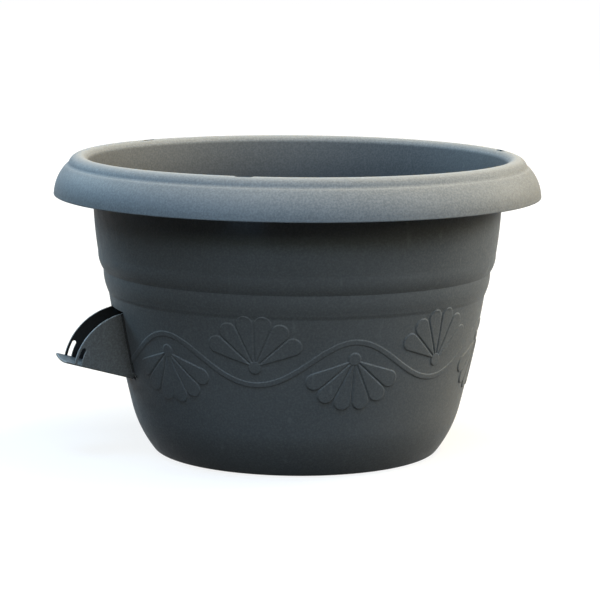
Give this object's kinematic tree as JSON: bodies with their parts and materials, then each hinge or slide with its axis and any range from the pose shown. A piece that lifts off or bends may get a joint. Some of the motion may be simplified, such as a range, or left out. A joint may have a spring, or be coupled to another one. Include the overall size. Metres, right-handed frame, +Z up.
{
  "type": "self-watering pot",
  "caption": "Round moulded plastic flower pot with a relief wall, a rolled rim with hanger slots, a tilt-out water hatch and a lift-out false floor with felt wicks over a reservoir.",
  "frame": {"origin": "middle of the base, on the surface that the pot stands on", "axes": "+Z up along the pot's axis, -X towards the water hatch, +Y to the right of someone who faces the hatch from outside"},
  "size_m": [0.3, 0.3, 0.1829],
  "materials": {
    "pot_plastic": "matt anthracite moulded plastic, fine grain",
    "hatch_plastic": "matt anthracite moulded plastic, a little smoother than the pot",
    "insert_plastic": "matt black moulded plastic",
    "wick_felt": "off-white needle felt"
  },
  "bodies": {
    "pot": {"pot_shell": "pot_plastic"},
    "hatch": {"filler_hatch": "hatch_plastic"},
    "insert": {"reservoir_separator": "insert_plastic", "soil_guard": "insert_plastic", "wick_1": "wick_felt", "wick_2": "wick_felt", "wick_3": "wick_felt", "wick_4": "wick_felt"}
  },
  "joints": [
    {"name": "hatch_tilt", "type": "hinge", "parent": "pot", "child": "hatch", "pos_m": [-0.10569, 0, 0.052], "axis": [0, 1, 0], "range_deg": [0, 63.4]},
    {"name": "insert_lift", "type": "slide", "parent": "pot", "child": "insert", "axis": [0, 0, 1], "range_m": [0, 0.185]}
  ]
}
